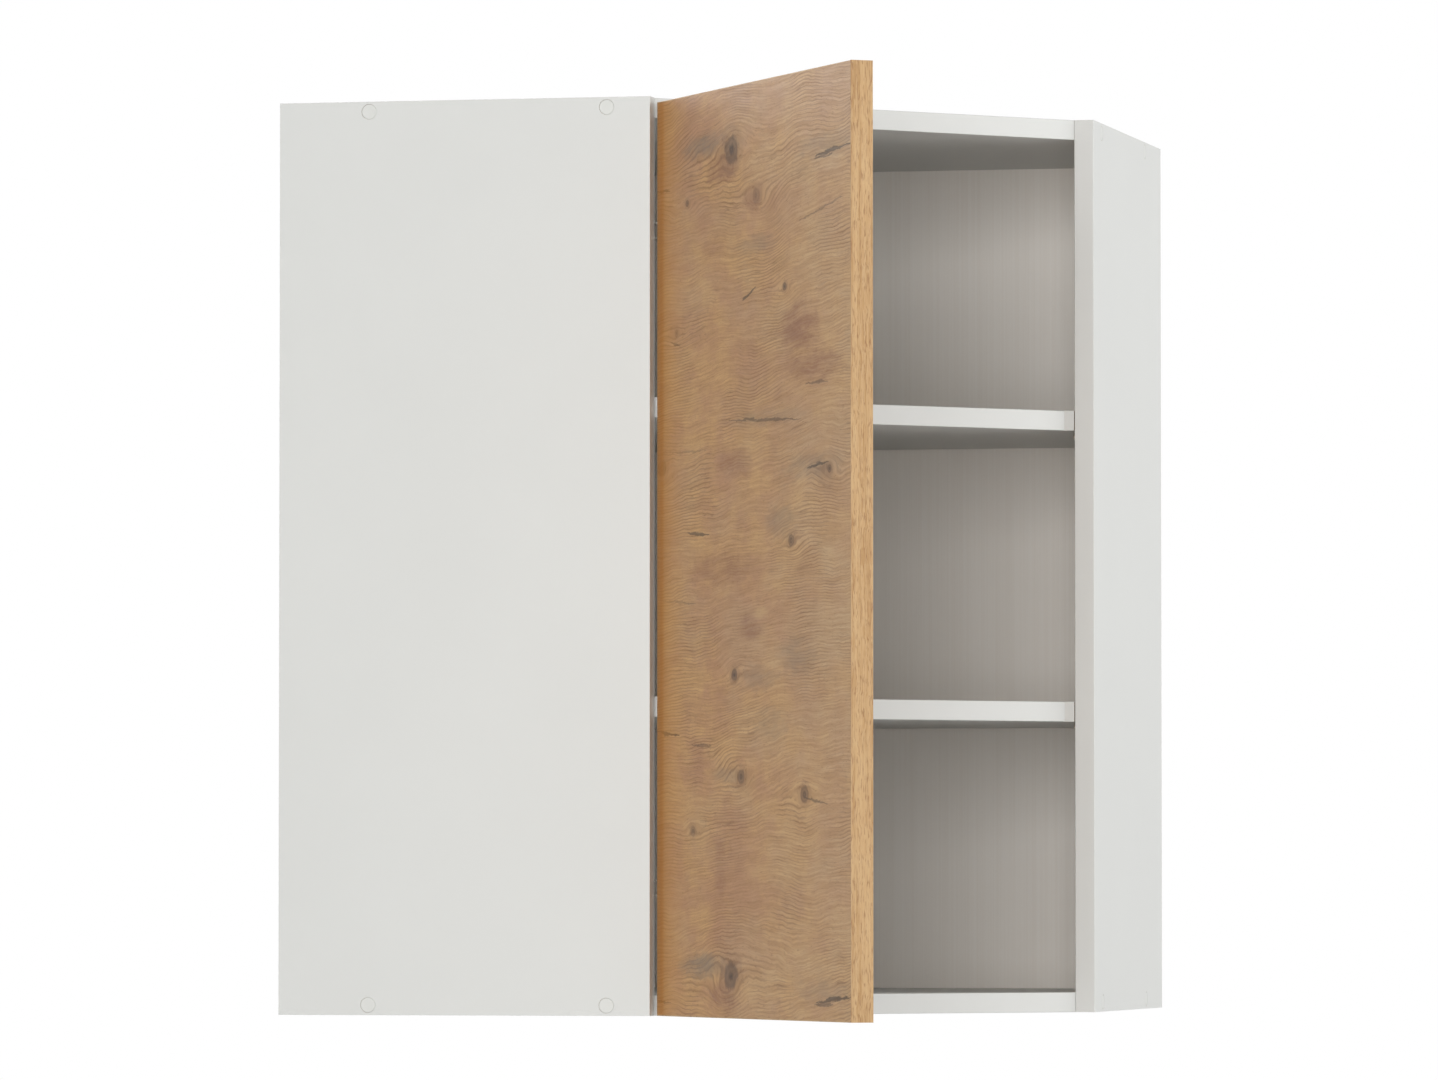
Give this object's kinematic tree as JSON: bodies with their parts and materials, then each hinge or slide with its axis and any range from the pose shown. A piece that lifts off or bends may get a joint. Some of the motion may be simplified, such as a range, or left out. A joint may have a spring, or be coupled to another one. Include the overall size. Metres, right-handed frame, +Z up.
{
  "type": "corner wall cabinet",
  "caption": "Diagonal-front corner wall cabinet with white five-sided boards, shelves, and one oak-decor door on concealed corner hinges, hung on adjustable wall hooks.",
  "frame": {"origin": "corner of the room at the height of the underside", "axes": "+X to the right along the rear wall, +Y into the rear wall, +Z up; the left wall is the plane x = 0"},
  "size_m": [0.598, 0.9125, 0.72],
  "materials": {
    "white_board": "satin melamine",
    "white_edge": "satin",
    "back_board": "thin fibreboard, streaked grey",
    "pine": "planed",
    "beech": "fluted",
    "oak_decor": "rustic oak decor, satin",
    "oak_edge": "light oak edge, satin",
    "bumper": "soft",
    "white_cap": "satin",
    "hanger_plastic": "moulded",
    "nickel_steel": "nickel plated",
    "zinc_steel": "zinc plated"
  },
  "bodies": {
    "carcass": {"arm_pins": "zinc_steel", "back_brads": "zinc_steel", "bottom_panel": "white_board", "connecting_screws": "zinc_steel", "corner_post": "pine", "cover_caps": "white_cap", "dowels": "beech", "hanger_height_screws": "zinc_steel", "hanger_screws": "zinc_steel", "hinge_adjusting_screws": "zinc_steel", "left_back": "back_board", "left_hanger_housing": "hanger_plastic", "left_side": "white_board", "lower_hinge_arm": "nickel_steel", "lower_mounting_plate": "nickel_steel", "lower_shelf": "white_board", "plate_screws": "zinc_steel", "right_back": "back_board", "right_hanger_housing": "hanger_plastic", "right_side": "white_board", "shelf_bands": "white_edge", "shelf_pins": "nickel_steel", "side_front_bands": "white_edge", "side_lower_bands": "white_edge", "top_and_bottom_bands": "white_edge", "top_panel": "white_board", "upper_hinge_arm": "nickel_steel", "upper_mounting_plate": "nickel_steel", "upper_shelf": "white_board"},
    "door": {"door_panel": "oak_decor", "door_end_bands": "oak_edge", "door_long_bands": "oak_edge", "door_bumpers": "bumper", "lower_hinge_cup": "nickel_steel", "upper_hinge_cup": "nickel_steel", "cup_pins": "zinc_steel", "cup_screws": "zinc_steel"},
    "upper_outer_link": {"upper_outer_link": "nickel_steel"},
    "lower_outer_link": {"lower_outer_link": "nickel_steel"},
    "upper_inner_link": {"upper_inner_link": "nickel_steel"},
    "lower_inner_link": {"lower_inner_link": "nickel_steel"},
    "left_hanger_slider": {"left_hanger_slider": "hanger_plastic", "left_hanger_depth_screw": "zinc_steel"},
    "left_hanger_hook": {"left_hanger_hook": "zinc_steel"},
    "right_hanger_slider": {"right_hanger_slider": "hanger_plastic", "right_hanger_depth_screw": "zinc_steel"},
    "right_hanger_hook": {"right_hanger_hook": "zinc_steel"}
  },
  "joints": [
    {"name": "upper_outer_link_turn", "type": "hinge", "parent": "carcass", "child": "upper_outer_link", "pos_m": [0.32165, -0.54778, 0.616], "axis": [0, 0, -1], "range_deg": [-1.23, 21.15]},
    {"name": "door_turn", "type": "hinge", "parent": "upper_outer_link", "child": "door", "pos_m": [0.32084, -0.58274, 0.616], "axis": [0, 0, -1], "range_deg": [-121.34, 7.02]},
    {"name": "lower_outer_link_turn", "type": "hinge", "parent": "carcass", "child": "lower_outer_link", "pos_m": [0.32165, -0.54778, 0.1], "axis": [0, 0, -1], "range_deg": [-1.23, 21.15]},
    {"name": "upper_inner_link_turn", "type": "hinge", "parent": "carcass", "child": "upper_inner_link", "pos_m": [0.32419, -0.57267, 0.616], "axis": [0, 0, -1], "range_deg": [-1.67, 28.67]},
    {"name": "lower_inner_link_turn", "type": "hinge", "parent": "carcass", "child": "lower_inner_link", "pos_m": [0.32419, -0.57267, 0.1], "axis": [0, 0, -1], "range_deg": [-1.67, 28.67]},
    {"name": "left_hanger_lift", "type": "slide", "parent": "carcass", "child": "left_hanger_slider", "axis": [0, 0, 1], "range_m": [-0.005, 0.005]},
    {"name": "left_hanger_pull", "type": "slide", "parent": "left_hanger_slider", "child": "left_hanger_hook", "axis": [1, 0, 0], "range_m": [0, 0.008]},
    {"name": "right_hanger_lift", "type": "slide", "parent": "carcass", "child": "right_hanger_slider", "axis": [0, 0, 1], "range_m": [-0.005, 0.005]},
    {"name": "right_hanger_pull", "type": "slide", "parent": "right_hanger_slider", "child": "right_hanger_hook", "axis": [0, -1, 0], "range_m": [0, 0.008]}
  ],
  "couplings": [
    {"joint": "upper_outer_link_turn", "follows": "door_turn", "ratio": -0.17424},
    {"joint": "lower_outer_link_turn", "follows": "door_turn", "ratio": -0.17424},
    {"joint": "upper_inner_link_turn", "follows": "door_turn", "ratio": -0.23617},
    {"joint": "lower_inner_link_turn", "follows": "door_turn", "ratio": -0.23617}
  ]
}
